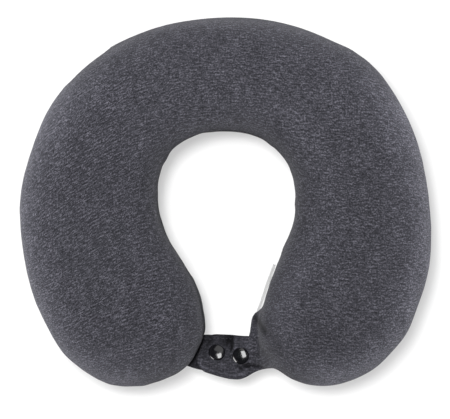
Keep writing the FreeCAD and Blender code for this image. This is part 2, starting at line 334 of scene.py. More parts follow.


# %% [markdown]
# The pale rim where the cloth rolls away from the eye is a painted sheen, and how much of it each
# point gets is stored on that point. So are painted light and painted shade: how pale the cloth is,
# and how dark it is in the folds beside the strap. The material reads them.

# %% Painted sheen and shade
# Each fold where the arm's cloth runs into the strap: two ends in mm, width in mm and depth, which sets both
# how deep the fold is pressed and how dark its painted shade is.
ROOT_FOLDS = (((21.6, -83.8), (28.8, -94.2), 2.0, 1.0), ((24.0, -106.0), (29.0, -109.5), 1.3, 0.30),
              ((16.5, -119.4), (29.5, -121.2), 1.5, 0.62), ((30.0, -95.0), (36.0, -99.0), 2.2, 0.22))
BESIDE_HOLE = ((np.abs(OUTLINE[:, 0]) < 54 * MM) & (OUTLINE[:, 1] < 60 * MM)
               & (OUTLINE[:, 1] > -127 * MM))
HOLE_EDGE = OUTLINE[BESIDE_HOLE][::3]


def fades(t):
    """A fold's depth along its length: shallow at both ends."""
    return np.sin(math.pi * (0.12 + 0.76 * t)) ** 0.5


def seg_distance(x, y, a, b):
    """Distance of points from a segment, and how far along it they lie."""
    ax, ay = a
    dx, dy = b[0] - ax, b[1] - ay
    t = np.clip(((x - ax) * dx + (y - ay) * dy) / (dx * dx + dy * dy), 0, 1)
    return np.hypot(x - ax - t * dx, y - ay - t * dy), t


def paint_sheen_and_shade(mesh):
    """How much painted sheen each point of the cover gets, and its painted light and shade."""
    co = co_of(mesh)
    x, y = co[:, 0] / MM, co[:, 1] / MM
    gap = nearest_on(co[:, :2], HOLE_EDGE)[1] / MM
    # Painted sheen amount: little round the neck hole and along the back, more on the right.
    nap = 0.18 + 0.82 * smooth((gap - 6) / 30)
    nap *= (1 - 0.80 * smooth((y - 50) / 65)) * (1 + 0.45 * smooth(x / 60))
    # Painted light and shade: paler on the left arm, along the back and round the left of the hole; darker
    # towards the tips and round the right of the hole.
    painted_light = 0.05 * bump(np.hypot(x + 125, y + 15), 50) + 0.12 * smooth((y - 10) / 60)
    painted_light += bump(gap, 8) * (0.20 * (x < 20) - 0.10 * (x > 20))
    painted_shade = (0.05 + 0.09 * (x > 0)) * smooth((-70 - y) / 40)
    # Painted shade in the folds beside the strap, on the upper panel only.
    painted_crease_shade = np.zeros(len(co))
    for a, b, width, depth in ROOT_FOLDS:
        away, t = seg_distance(x, y, a, b)
        painted_crease_shade = np.maximum(painted_crease_shade, depth * bump(away, width) * fades(t))
    store(mesh, "nap", nap)
    store(mesh, "shade", (1 + painted_light - painted_shade) * (1 - painted_crease_shade * (co[:, 2] > SEAM_Z)))


print("edge of the neck hole", len(HOLE_EDGE), "points,", len(ROOT_FOLDS), "folds at the strap's root")


# %% [markdown]
# Each material is built from a handful of nodes. One function turns a written colour into the
# linear light that Blender works in, one adds a node with its settings and its links, and one makes
# a material from a recipe, which is a function that returns what its Principled shader is given.

# %% Colour, node and material helpers
def linear(colour):
    """Linear RGBA of an sRGB hex colour; a plain number is a linear grey."""
    if not isinstance(colour, str):
        return (colour, colour, colour, 1.0)
    parts = [int(colour[i:i + 2], 16) / 255 for i in (1, 3, 5)]
    return tuple(c / 12.92 if c <= 0.04045 else ((c + 0.055) / 1.055) ** 2.4 for c in parts) + (1.0,)


def set_stops(elements, stops):
    """Give a colour ramp its (place, colour) stops."""
    while len(elements) < len(stops):
        elements.new(0.5)
    for element, (place, colour) in zip(elements, stops):
        element.position = place
        element.color = linear(colour)


def node(tree, kind, settings=None, **sockets):
    """Add a node. A socket goes by its name or, as _2, by its number, and takes a value, a hex
    colour or another node's output."""
    made = tree.nodes.new(kind)
    for key, value in (settings or {}).items():
        if key == "stops":
            set_stops(made.color_ramp.elements, value)
        else:
            setattr(made, key, value)
    for key, value in sockets.items():
        socket = made.inputs[int(key[1:]) if key[0] == "_" else key.replace("_", " ")]
        if isinstance(value, bpy.types.NodeSocket):
            tree.links.new(value, socket)
        else:
            socket.default_value = linear(value) if isinstance(value, str) else value
    return made


def make_material(name, recipe, *values):
    """Material from recipe(tree, *values), which returns the Principled shader's sockets."""
    material = bpy.data.materials.new(name)
    material.use_nodes = True
    tree = material.node_tree
    tree.nodes.clear()
    shader = node(tree, "ShaderNodeBsdfPrincipled", **recipe(tree, *values))
    node(tree, "ShaderNodeOutputMaterial", Surface=shader.outputs[0])
    return material


MULTIPLY, MULTIPLY_ADD = {"operation": "MULTIPLY"}, {"operation": "MULTIPLY_ADD"}
print("mid grey in linear light", round(linear("#808080")[0], 3))


# %% [markdown]
# ## Heathered jersey
# The cover is a polyester jersey, weft knitted from yarn that mixes black, grey and near-white
# fibres, then lightly brushed. Three things make it recognisable. The mixed yarn gives short pale and
# dark dashes that lie along the courses of the knit. The courses themselves are rows about 1 mm
# apart, seen as a faint rib. The raised nap catches light at a grazing angle: besides a little real
# sheen, every edge that rolls away from the eye gets a painted sheen in its base colour, scaled by
# the amount stored on each point.
# The pattern reads the flat panel's own map, so the dashes run over the edge as cut cloth does. Real
# loops of 0.5 mm are too fine to show, so they are drawn 1.3 mm long.

# %% Heathered charcoal jersey
LOOP, DASH = (1.3, 1.2), (4.8, 1.3)
PAINTED_SHEEN_GAIN = 2.1


def yarn_noise(tree, vector, mark, rough):
    """Noise drawn out along the courses; mark is its size along and across them in mm."""
    along, across = mark
    scaled = node(tree, "ShaderNodeMapping", Vector=vector,
                  Scale=(1000 / along, 1000 / across, 1000 / across)).outputs[0]
    return node(tree, "ShaderNodeTexNoise", Vector=scaled, Scale=1.0, Detail=2.0,
                Roughness=rough).outputs["Fac"]


def jersey(tree, dark, mid, light, sheen):
    """Mixed yarn: single loops, dashes along the courses and slow clouds, all a little askew, with a painted
    sheen at grazing angles and the stored painted light and shade multiplied in.
    """
    vector = node(tree, "ShaderNodeUVMap", {"uv_map": "cloth"}).outputs[0]
    bend = node(tree, "ShaderNodeTexNoise", Vector=vector, Scale=13.0, Detail=1.0).outputs["Color"]
    lean = node(tree, "ShaderNodeVectorMath", MULTIPLY_ADD, _0=bend, _1=(0.0, 0.010, 0.0),
                _2=vector).outputs[0]
    loops = yarn_noise(tree, lean, LOOP, 0.8)
    dashes = yarn_noise(tree, lean, DASH, 0.55)
    clouds = node(tree, "ShaderNodeTexNoise", Vector=vector, Scale=70.0, Detail=2.0).outputs["Fac"]
    mixed = node(tree, "ShaderNodeMath", MULTIPLY_ADD, _0=loops, _1=0.84, _2=-0.22).outputs[0]
    mixed = node(tree, "ShaderNodeMath", MULTIPLY_ADD, _0=dashes, _1=0.48, _2=mixed).outputs[0]
    mixed = node(tree, "ShaderNodeMath", MULTIPLY_ADD, _0=clouds, _1=0.12, _2=mixed).outputs[0]
    yarn = node(tree, "ShaderNodeValToRGB", {"stops": ((0.28, dark), (0.50, mid), (0.74, light))},
                Fac=mixed).outputs[0]
    rows = node(tree, "ShaderNodeMapping", Vector=lean, Scale=(1000.0, 1000.0, 1000.0)).outputs[0]
    course = node(tree, "ShaderNodeTexWave", {"bands_direction": "Y"}, Vector=rows, Scale=0.30,
                  Distortion=1.5, Detail=2.0, Detail_Scale=1.5).outputs["Fac"]
    relief = node(tree, "ShaderNodeMath", MULTIPLY_ADD, _0=loops, _1=2.4, _2=course).outputs[0]
    normal = node(tree, "ShaderNodeBump", Strength=0.35, Distance=0.5 * MM, Height=relief).outputs[0]
    shade = node(tree, "ShaderNodeAttribute", {"attribute_name": "shade"}).outputs["Fac"]
    nap = node(tree, "ShaderNodeAttribute", {"attribute_name": "nap"}).outputs["Fac"]
    # Painted sheen: the base colour is brightened at grazing angles by the stored amount, then multiplied by
    # the stored painted light and shade.
    facing = node(tree, "ShaderNodeLayerWeight", Blend=0.5).outputs["Facing"]
    painted_sheen = node(tree, "ShaderNodeMath", MULTIPLY, _0=facing, _1=nap).outputs[0]
    painted_light_gain = node(tree, "ShaderNodeMath", MULTIPLY_ADD, _0=painted_sheen, _1=PAINTED_SHEEN_GAIN, _2=1.0).outputs[0]
    painted_light_gain = node(tree, "ShaderNodeMath", MULTIPLY, _0=painted_light_gain, _1=shade).outputs[0]
    colour = node(tree, "ShaderNodeMix", {"data_type": "RGBA", "blend_type": "MULTIPLY"}, _0=1.0,
                  _6=yarn, _7=painted_light_gain).outputs[2]
    return dict(Base_Color=colour, Roughness=0.95, Normal=normal, Specular_IOR_Level=0.12,
                Sheen_Weight=sheen, Sheen_Roughness=0.5, Sheen_Tint="#d6d6dc")


COVER_CLOTH = make_material("brushed_heather_jersey", jersey, "#151517", "#2d2d32", "#5c5b63", 0.10)
STRAP_CLOTH = make_material("brushed_heather_jersey_strap", jersey, "#18181b", "#2d2d32", "#53525a", 0.04)
print("jersey materials", COVER_CLOTH.name, STRAP_CLOTH.name)

# %% [markdown]
# ## The cover's cloth
# A simulated cloth is the quickest honest way to the look of knit over foam. The ring mesh is made a
# few millimetres too small and turned into even quads by a voxel remesh. Then it is blown up by a
# little air pressure while the seam line is held, which makes the cloth stand proud on both sides of
# the seam and gather in short ripples towards it. How far a point may move is capped.

# %% Blow up a cloth mesh
def puff(obj, hold, pressure, frames, cap):
    """Swell the mesh like a cushion; hold is 0 for free and 1 for fixed vertices."""
    mesh = obj.data
    start = co_of(mesh)
    group = obj.vertex_groups.new(name="held")
    for i in np.nonzero(hold > 0.01)[0]:
        group.add([int(i)], float(hold[i]), "REPLACE")
    cloth = obj.modifiers.new("cloth", "CLOTH")
    for key, value in dict(quality=6, mass=0.3, tension_stiffness=18, compression_stiffness=18,
                           shear_stiffness=8, bending_stiffness=0.4, use_pressure=True,
                           uniform_pressure_force=pressure, vertex_group_mass="held").items():
        setattr(cloth.settings, key, value)
    cloth.settings.effector_weights.gravity = 0
    cloth.collision_settings.use_collision = False
    cloth.collision_settings.use_self_collision = False
    for f in range(1, frames + 1):
        scene.frame_set(f)
    graph = bpy.context.evaluated_depsgraph_get()
    moved = co_of(obj.evaluated_get(graph).data)
    obj.modifiers.clear()
    scene.frame_set(1)
    step = moved - start
    length = np.linalg.norm(step, axis=1)
    step *= np.minimum(1, cap / np.maximum(length, 1e-9))[:, None]
    set_co(mesh, start + step)
    print(obj.name, "swelled by up to", round(float(min(length.max(), cap)) * 1000, 1), "mm")


# %% [markdown]
# Each arm's cloth is drawn out into a short snout that becomes its strap. A snout is added to the
# ring mesh as a wedge before the remesh, so the two grow together into one skin.

# %% The snouts
def wedge(stations):
    """Tube with a rounded section; stations are (x, y_low, y_high, z_mid, half_height)."""
    verts, faces, around = [], [], 20
    for x, y0, y1, z, half in stations:
        for k in range(around):
            a = 2 * math.pi * k / around
            c, s = math.cos(a), math.sin(a)
            y = (y0 + y1) / 2 + (y1 - y0) / 2 * math.copysign(abs(c) ** 0.6, c)
            verts.append((x, y, z + half * math.copysign(abs(s) ** 0.8, s)))
    for r in range(len(stations) - 1):
        for k in range(around):
            n = (k + 1) % around
            faces.append((r * around + k, r * around + n, (r + 1) * around + n, (r + 1) * around + k))
    faces.append(tuple(reversed(range(around))))
    faces.append(tuple((len(stations) - 1) * around + k for k in range(around)))
    return verts, faces


SNOUT_MID = (UPPER_Z + UPPER_TOP) / 2
RIGHT_SNOUT = [(x * MM, y0 * MM, y1 * MM, SNOUT_MID + dz * MM, h * MM) for x, y0, y1, dz, h in (
    (62, -122, -84, 0, 32), (48, -123, -80, 0, 32), (38, -123, -77, 0, 28), (32, -121.8, -78, 0, 21),
    (28, -122.5, -79.5, 0, 14), (25, -124.0, -80, 0, 9), (22, -126, -80, 0, 5.4), (18.5, -127.5, -83, 0, 4.0),
    (16.3, -128.5, -88, 0, 3.4), (14.6, -128, -96, 0, 3.1))]
LEFT_MID = (LOWER_Z + LOWER_TOP) / 2
LEFT_SNOUT = [(-x * MM, y0 * MM, y1 * MM, LEFT_MID + dz * MM, h * MM) for x, y0, y1, dz, h in (
    (56, -120, -98, 0, 18), (44, -121, -102, 0, 10), (36, -122, -105, 0, 5), (30, -122, -107, 0, 3))]


def add_part(mesh, verts, faces):
    """Add a loose closed part to a mesh; a remesh will grow the two together."""
    bm = bmesh.new()
    bm.from_mesh(mesh)
    made = [bm.verts.new(v) for v in verts]
    for f in faces:
        bm.faces.new([made[i] for i in f])
    bmesh.ops.recalc_face_normals(bm, faces=bm.faces)
    bm.to_mesh(mesh)
    bm.free()


print("snouts", len(RIGHT_SNOUT), "and", len(LEFT_SNOUT), "stations")

# %% [markdown]
# Foam and cloth never stand exactly on the pattern's plan. The closed straps squeeze both arms: the
# left tip bulges towards the straps and the right arm's inner wall is drawn back. Other places lean
# by a few millimetres, each one fading out over its own reach.

# %% Leans
LEANS = (
    ((-125, 75), (0.8, -0.4), 40), ((-90, 110), (0.8, -1.0), 30), ((0, 136), (0.0, -1.9), 45),
    ((100, 104), (1.9, 1.9), 24), ((134, 62), (-0.8, -0.3), 26), ((147, 15), (-1.5, 0.0), 28),
    ((148, -60), (0.8, 0.0), 24), ((133, -96), (2.4, -2.0), 17), ((97, -133), (0.0, 3.6), 22),
    ((70, -137), (0.0, 1.2), 18), ((44, -127), (0.0, -1.6), 14), ((-114, -122), (2.8, 2.8), 32),
    ((-142, -78), (1.8, 0.4), 32), ((-75, -138), (0.0, 0.8), 20), ((-42, -126), (0.0, -1.0), 13),
    ((-29, -119), (2.4, -2.8), 12),
    ((-121, -106), (-1.9, -1.6), 19), ((-36, -41), (1.1, 0.0), 15), ((-15, -82), (-1.2, 0.0), 11),
    ((31, -66), (1.2, 0.0), 13), ((-50, -8), (2.8, 0.0), 26), ((-36, 37), (-1.2, 0.4), 18),
    ((0, 53), (0.0, -2.1), 26), ((36, 41), (-0.9, -0.9), 14), ((51, 2), (-1.9, 0.0), 18),
    ((37, -50), (4.0, 0.0), 26), ((23, -76), (2.4, 0.0), 15), ((-14, -98), (3.0, 0.0), 9))


def lean_arms(co):
    """Move points off the true plan; each lean is (x, y), shift and reach, all in mm."""
    x, y = co[:, 0].copy(), co[:, 1].copy()
    near = smooth(1 - np.abs(np.abs(x) - 24 * MM) / (62 * MM))
    left = np.where(x < 0, 5.2 * MM * bump(y + 96 * MM, 30 * MM), 0)
    right = np.where(x > 0, 3.4 * MM * bump(y + 74 * MM, 24 * MM), 0)
    co[:, 0] += (left + right) * near
    for (cx, cy), (dx, dy), width in LEANS:
        felt = bump(np.hypot(x - cx * MM, y - cy * MM), width * MM)
        co[:, 0] += dx * MM * felt
        co[:, 1] += dy * MM * felt
    return co


print("leans", len(LEANS), "up to", max(round(math.hypot(*shift), 1) for _, shift, _ in LEANS), "mm")

# %% [markdown]
# Now the skin itself: rings and snouts are remeshed into one, the corner between arm and strap is
# smoothed until the cloth flows from one to the other, and the whole is blown up while its seam, its
# underside and its snouts are held.

# %% The swollen skin
def within(co, centre, reach):
    """Which points lie inside an ellipsoid."""
    return np.linalg.norm((co - centre) / reach, axis=1) < 1


def swollen_skin(name):
    """The body and both snouts as one skin of even quads, its corners relaxed."""
    mesh = body_mesh(name, 0.5 * MM)
    set_co(mesh, lean_arms(co_of(mesh)))
    for stations in (RIGHT_SNOUT, LEFT_SNOUT):
        add_part(mesh, *wedge(stations))
    obj = new_piece(name, mesh)
    remesh = obj.modifiers.new("even quads", "REMESH")
    remesh.mode = "VOXEL"
    remesh.voxel_size = 3.6 * MM
    applied(obj)
    co = co_of(obj.data)
    corners = within(co, [0.036, -0.104, SNOUT_MID], [0.020, 0.040, 0.036])
    corners |= within(co, [-0.034, -0.111, LEFT_MID], [0.020, 0.030, 0.022])
    group = obj.vertex_groups.new(name="corner")
    group.add([int(i) for i in np.nonzero(corners)[0]], 1.0, "REPLACE")
    relax = obj.modifiers.new("flow", "SMOOTH")
    relax.factor = 0.5
    relax.iterations = 9
    relax.vertex_group = "corner"
    even = obj.modifiers.new("even", "SMOOTH")
    even.factor = 0.5
    even.iterations = 3
    applied(obj)
    obj.vertex_groups.clear()
    return obj


skin = swollen_skin("cover_skin")
co = co_of(skin.data)
inset, normal, station = from_outline(co[:, :2])
at_seam = bump(co[:, 2] - SEAM_Z, 3.0 * MM) * smooth((9 * MM - inset) / (6 * MM))
at_floor = smooth((4.5 * MM - co[:, 2]) / (2 * MM))
at_snout = smooth((42 * MM - np.abs(co[:, 0])) / (14 * MM)) * smooth((-92 * MM - co[:, 1]) / (8 * MM))
hold = np.clip(at_seam + 0.6 * at_floor + at_snout, 0, 1)
puff(skin, hold, pressure=3.0, frames=20, cap=7 * MM)
co = co_of(skin.data)
print("skin", len(skin.data.polygons), "quads", np.round([co.min(0) / MM, co.max(0) / MM], 1))

# %% [markdown]
# The upper strap lies across the mouth, creased by the pull of the arms: one fold runs down between
# the caps, one runs off towards the right arm. The folds are written down here, because the end of
# the arm's cloth has to lie on the strap.

# %% Folds of the upper strap
CAPS = [(-6.6, -109.9), (10.8, -112.7)]
CAP_R = 6.0
LIFT = 1.2
UPPER_HIGH = [(34, -97.0), (26, -98.6), (20, -99.4), (12, -99.2), (4, -98.4), (-8, -97.9), (-12.5, -98.8),
              (-15.5, -103.0), (-18.6, -108.5), (-21.0, -114.5), (-24, -116.0)]
UPPER_LOW = [(34, -123.0), (30, -123.2), (25, -124.2), (20, -126.4), (15, -129.6), (10, -131.4), (3, -131.0),
             (-4, -129.4), (-12, -127.0), (-16.5, -125.4), (-19.5, -122.0), (-21.5, -118.5), (-24, -117.0)]
# Each crease and ridge: two ends in mm, depth and width.
CREASES = (
    ((5.0, -99.0), (4.2, -109.5), 1.3, 1.3),
    ((1.6, -100.0), (0.8, -106.5), 0.7, 2.2),
    ((2.4, -114.6), (11.8, -124.4), 1.0, 1.1),
    ((12.4, -120.4), (29.0, -121.8), 1.8, 1.5),
    ((19.0, -106.0), (24.5, -109.0), 0.9, 1.1),
    ((21.0, -111.5), (28.0, -113.2), 0.8, 1.1),
    ((-13.0, -119.5), (-3.0, -126.0), 0.35, 1.6),
    ((-11.0, -100.5), (-14.5, -108.0), 0.35, 1.8),
)
RIDGES = (
    ((7.2, -99.5), (6.5, -107.5), 0.8, 1.3),
    ((0.4, -113.2), (9.6, -122.4), 1.2, 0.8),
    ((-12.0, -123.0), (4.0, -119.5), 0.4, 2.0),
    ((16.0, -117.8), (27.0, -118.6), 0.8, 1.1),
    ((18.5, -109.2), (27.0, -110.6), 0.5, 0.9),
)


def strap_height(x, y, calm=0.85):
    """Rise of the upper strap's cloth at (x, y), over its flat plane, all in mm.

    calm flattens it under the arm's cloth, and it is flat under the caps."""
    rise = 0.30 * waves(np.stack([x.ravel(), y.ravel()], 1), 21.0, 21, 6).reshape(x.shape)
    for folds, sign in ((CREASES, -1.5), (RIDGES, 1.0)):
        for a, b, depth, width in folds:
            gap, t = seg_distance(x, y - LIFT, a, b)
            rise += sign * depth * bump(gap, width) * fades(t)
    free = 1 - calm * smooth((x - 15) / 3)
    for cx, cy in CAPS:
        free *= smooth((np.hypot(x - cx, y - cy) - CAP_R) / 1.5)
    return rise * free


print("folds of the upper strap", len(CREASES), "down and", len(RIDGES), "up")


# %% [markdown]
# ## Seam, ripples and the slow dents
# After one subdivision the mesh is fine enough to press the details into it. The seam pulls a groove
# all round the wall. Next to it the cloth is a little too long for the thread, so it stands in small
# ripples that die out over a centimetre or two. The underside is pressed flat by the pillow's own
# weight. Where the zip is sewn in, the cloth lies flat and tight, so that wall comes first.

# %% The wall round the zip
ZIP_TURN = 29.0
BACK_FROM = 60 * MM


def zip_angle(points):
    """Degrees from the middle of the back, seen from the centre of the back's arc."""
    d = points[:, :2] - BACK_C
    return np.degrees(np.arctan2(d[:, 0], d[:, 1])), np.linalg.norm(d, axis=1)


def zip_wall_radius(angle):
    """The taut wall round the zip, a little flatter than the arc in the middle of the back."""
    return BACK_R - 0.15 * MM - 1.9 * MM * bump(angle + 8, 20)


def arc_length(station):
    """How far round the outline each station is."""
    lengths = np.linalg.norm(np.roll(OUTLINE, -1, axis=0) - OUTLINE, axis=1)
    return np.concatenate([[0], np.cumsum(lengths)])[:-1][station]


print("zip slot", round(2 * math.radians(ZIP_TURN) * BACK_R / MM), "mm along the wall")

# %% Press the seam and the dents in
GROOVE_DEPTH, GROOVE_WIDTH = 2.4 * MM, 2.6 * MM
RIPPLE = 0.9 * MM
PRESSED = 1.6 * MM


def sculpt(mesh):
    """Press in the seam, its ripples, the slow dents, the taut wall at the zip and the flat underside."""
    co = co_of(mesh)
    inset, normal, station = from_outline(co[:, :2])
    out = np.hstack([normal, np.zeros((len(co), 1))])
    up = co[:, 2] - SEAM_Z
    wall = smooth((16 * MM - inset) / (10 * MM))
    angle, reach = zip_angle(co)
    at_zip = (smooth((ZIP_TURN + 4 - np.abs(angle)) / 4) * (co[:, 1] > BACK_FROM)
              * (reach > BACK_R - 30 * MM))
    snout = smooth((38 * MM - np.abs(co[:, 0])) / (10 * MM)) * smooth((-94 * MM - co[:, 1]) / (8 * MM))
    plain = wall * (1 - at_zip) * (1 - snout)
    groove = -GROOVE_DEPTH * bump(up, GROOVE_WIDTH) - 0.9 * MM * bump(up, 9 * MM)
    run = arc_length(station)
    line = np.stack([run, np.zeros_like(run)], 1)
    ripple = waves(line, 13 * MM, 3, 7) * 0.55 + waves(line, 31 * MM, 4, 5) * 0.45
    tuck = RIPPLE * ripple * bump(np.abs(up) - 5 * MM, 8 * MM)
    co += out * (plain * (groove + tuck))[:, None]
    slow = waves(co, 85 * MM, 11, 8) * 0.9 * MM + waves(co, 38 * MM, 12, 8) * 0.35 * MM
    co += out * (slow * plain)[:, None]
    co[:, 2] += np.sign(up) * slow * (1 - wall) * (1 - snout)
    flat_wall = at_zip * smooth((19 * MM - np.abs(up)) / (7 * MM))
    spoke = co[:, :2] - BACK_C
    reach = np.linalg.norm(spoke, axis=1)
    co[:, :2] += spoke / reach[:, None] * ((zip_wall_radius(angle) - reach) * flat_wall)[:, None]
    low = co[:, 2] - co[:, 2].min()
    co[:, 2] = np.where(low < PRESSED, 0.5 * low * low / PRESSED, low - 0.5 * PRESSED)
    set_co(mesh, co)


# %% [markdown]
# The end of the right snout lies on the strap, so that cloth runs on from arm to strap, with a small
# lobe above it. Under the lower strap the left arm is pressed in a little, by the snaps' backs when
# the strap hangs down.

# %% Lay the snout on the strap
def settle_snout(mesh):
    """Blend the end of the right snout on to the strap's two faces, and press the left arm in."""
    co = co_of(mesh)
    x, y = co[:, 0] / MM, co[:, 1] / MM
    lobe = bump(np.hypot(x - 21.5, y + 84.5), 5.0) * (np.abs(co[:, 2] - SNOUT_MID) < 16 * MM)
    co[:, 0] -= 0.9 * MM * lobe
    co[:, 1] += 2.4 * MM * lobe
    under_strap = bump(np.hypot(x + 15, 0.8 * (y + 111)), 15) * smooth((44 - co[:, 2] / MM) / 7)
    co[:, 0] -= 5.5 * MM * under_strap * (x < 0)
    end = smooth((29 - x) / 8) * smooth((-88 - y) / 6) * smooth((x - 8) / 4) * (co[:, 2] < SEAM_Z + 14 * MM)
    proud = 1.1 * smooth((x - 14.5) / 4.0) - 0.7
    strap_top = UPPER_TOP + (strap_height(x, y) + proud) * MM
    upper = co[:, 2] > SNOUT_MID
    co[:, 2] += np.where(upper, end * (strap_top - co[:, 2]), end * (UPPER_Z - 0.3 * MM - co[:, 2]))
    for a, b, width, depth in ROOT_FOLDS:
        away, t = seg_distance(x, y, a, b)
        co[:, 2] -= 3.2 * MM * depth * bump(away, width) * fades(t) * upper
    set_co(mesh, co)


finer = skin.modifiers.new("finer", "SUBSURF")
finer.levels = finer.render_levels = 1
applied(skin)
sculpt(skin.data)
settle_snout(skin.data)
print("sculpted", len(skin.data.polygons), "quads")

# %% [markdown]
# The skin is cut along the seam into the two panels, as the real cover is cut, and the slot for the
# zip is opened behind the neck. Every cut edge is folded in, because no raw edge of knit shows on the
# outside of a cover.

# %% Scissors and needle
SLOT = 4.4 * MM
LIP_DEPTH, SLOT_LIP_DEPTH = 5.2 * MM, 3.0 * MM


def on_zip_wall(face, height, turn=180.0):
    """Whether a face is on the wall behind the neck, within height of the seam and turn degrees."""
    c = face.calc_center_median()
    dx, dy = c.x - BACK_C[0], c.y - BACK_C[1]
    return (abs(c.z - SEAM_Z) < height and abs(math.degrees(math.atan2(dx, dy))) <= turn
            and math.hypot(dx, dy) > BACK_R - 9 * MM and c.y > BACK_FROM)


def slice_at(bm, faces, place, direction):
    """Cut the faces, with their edges and corners, by a plane."""
    parts = set(faces)
    for f in faces:
        parts.update(f.edges)
        parts.update(f.verts)
    bmesh.ops.bisect_plane(bm, geom=list(parts), dist=1e-7, plane_co=place, plane_no=direction)


def fold_in(bm):
    """Turn every cut edge in, except at the snouts."""
    rim = [e for e in bm.edges if e.is_boundary]
    made = bmesh.ops.extrude_edge_only(bm, edges=rim)["geom"]
    moved = [v for v in made if isinstance(v, bmesh.types.BMVert)]
    points = np.array([v.co for v in moved])
    _, normal, _ = from_outline(points[:, :2])
    for v, n, p in zip(moved, normal, points):
        depth = LIP_DEPTH if abs(p[2] - SEAM_Z) > SLOT / 2 else SLOT_LIP_DEPTH
        if abs(p[0]) >= 40 * MM or p[1] >= -92 * MM:
            v.co.x -= n[0] * depth
            v.co.y -= n[1] * depth


print("slot", 2 * SLOT / MM, "mm high")

# %% [markdown]
# A panel is what is left of the skin when the other half and the slot are cut away. Its map, its
# painted sheen amount and its painted light and shade are stored on it last, when its points are final.

# %% Two panels
def cut_panel(name, keep_upper):
    """One panel of the cover: the skin above or below the seam, with half the zip's slot."""
    bm = bmesh.new()
    bm.from_mesh(skin.data)
    slice_at(bm, list(bm.faces), (0, 0, SEAM_Z), (0, 0, 1))
    planes = [((0, 0, SEAM_Z + dz), (0, 0, 1)) for dz in (-SLOT, SLOT)]
    a = math.radians(ZIP_TURN)
    for side in (-1, 1):
        place = (BACK_C[0] + side * BACK_R * math.sin(a), BACK_C[1] + BACK_R * math.cos(a), SEAM_Z)
        planes.append((place, (math.cos(a), -side * math.sin(a), 0)))
    for place, direction in planes:
        slice_at(bm, [f for f in bm.faces if on_zip_wall(f, 12 * MM)], place, direction)
    gone = [f for f in bm.faces if on_zip_wall(f, SLOT, ZIP_TURN)
            or (f.calc_center_median().z > SEAM_Z) != keep_upper]
    bmesh.ops.delete(bm, geom=gone, context="FACES")
    fold_in(bm)
    bmesh.ops.recalc_face_normals(bm, faces=bm.faces)
    if sum(f.normal.z * f.calc_area() for f in bm.faces) * (1 if keep_upper else -1) < 0:
        bmesh.ops.reverse_faces(bm, faces=bm.faces)
    mesh = bpy.data.meshes.new(name)
    bm.to_mesh(mesh)
    bm.free()
    flat_cloth_map(mesh)
    paint_sheen_and_shade(mesh)
    smooth_faces(mesh)
    mesh.materials.append(COVER_CLOTH)
    return new_piece(name, mesh)


upper_panel = cut_panel("cover_cloth_upper", True)
lower_panel = cut_panel("cover_cloth_lower", False)
bpy.data.objects.remove(skin)
for panel, cad_node in ((upper_panel, "cover_top_panel"), (lower_panel, "cover_bottom_panel")):
    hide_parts(cad_node)
    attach(panel, "pillow")
    print(panel.name, len(panel.data.polygons), "faces")

# %% [markdown]
# ## Foam and sock
# The foam core is open-cell polyurethane, cream where it shows, with a fine skin from its mould. The
# sock round it is a thin white stockinette that lets the cover slide on. Neither is seen while the
# zip is shut, but both are there, a few millimetres under the cloth.

# %% Foam and sock
def moulded_foam(tree):
    vector = node(tree, "ShaderNodeTexCoord").outputs["Object"]
    cells = node(tree, "ShaderNodeTexVoronoi", Vector=vector, Scale=900.0).outputs["Distance"]
    tone = node(tree, "ShaderNodeTexNoise", Vector=vector, Scale=18.0, Detail=3.0).outputs["Fac"]
    cream = node(tree, "ShaderNodeValToRGB", {"stops": ((0.3, "#e3dcc4"), (0.7, "#efe9d6"))}, Fac=tone)
    normal = node(tree, "ShaderNodeBump", Strength=0.4, Distance=0.5 * MM, Height=cells).outputs[0]
    return dict(Base_Color=cream.outputs[0], Roughness=0.9, Normal=normal)


def stockinette(tree):
    vector = node(tree, "ShaderNodeTexCoord").outputs["Object"]
    ribs = node(tree, "ShaderNodeTexWave", Vector=vector, Scale=350.0, Distortion=1.0).outputs["Fac"]
    white = node(tree, "ShaderNodeValToRGB", {"stops": ((0.2, "#d9d7d0"), (0.8, "#f1efe9"))}, Fac=ribs)
    normal = node(tree, "ShaderNodeBump", Strength=0.5, Distance=0.3 * MM, Height=ribs).outputs[0]
    return dict(Base_Color=white.outputs[0], Roughness=0.92, Normal=normal, Sheen_Weight=0.2)


for name, depth, cad_node, slot_name, material in (
        ("foam_block", 8.5, "foam_core", "memory_foam", make_material("moulded_memory_foam", moulded_foam)),
        ("liner_sock", 7.5, "inner_liner", "liner_knit", make_material("white_stockinette", stockinette))):
    inner = new_piece(name, body_mesh(name, depth * MM))
    set_co(inner.data, lean_arms(co_of(inner.data)))
    smooth_faces(inner.data)
    inner.data.polygons[-1].use_smooth = inner.data.polygons[-2].use_smooth = False
    inner.data.materials.append(material)
    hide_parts(cad_node)
    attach(inner, "pillow")
    print(name, len(inner.data.polygons), "faces")

# %% [markdown]
# ## The straps
# Each strap is three plies sewn together and turned: a flat tongue about 3 mm thick with soft
# rounded edges. The upper one comes out of the right arm's snout, widens a little, and ends in a
# bowed edge tucked against the left arm. Pressing the snaps home and pulling on the arms leaves it
# creased: one fold runs down between the caps, one runs off towards the right arm.
# The mesh is a grid across the tongue whose thickness falls to nothing at the rim, which gives the
# rounded edge for free, and the creases are pressed into it.

# %% A tongue of cloth
PLY_HALF = 1.5
EASINGS = 14


def edge_line(x, points):
    """The strap's edge at each x, eased through its (x, y) control points."""
    line = np.interp(x, *np.array(sorted(points)).T)
    for _ in range(EASINGS):
        line[1:-1] = (line[:-2] + 2 * line[1:-1] + line[2:]) / 4
    return line


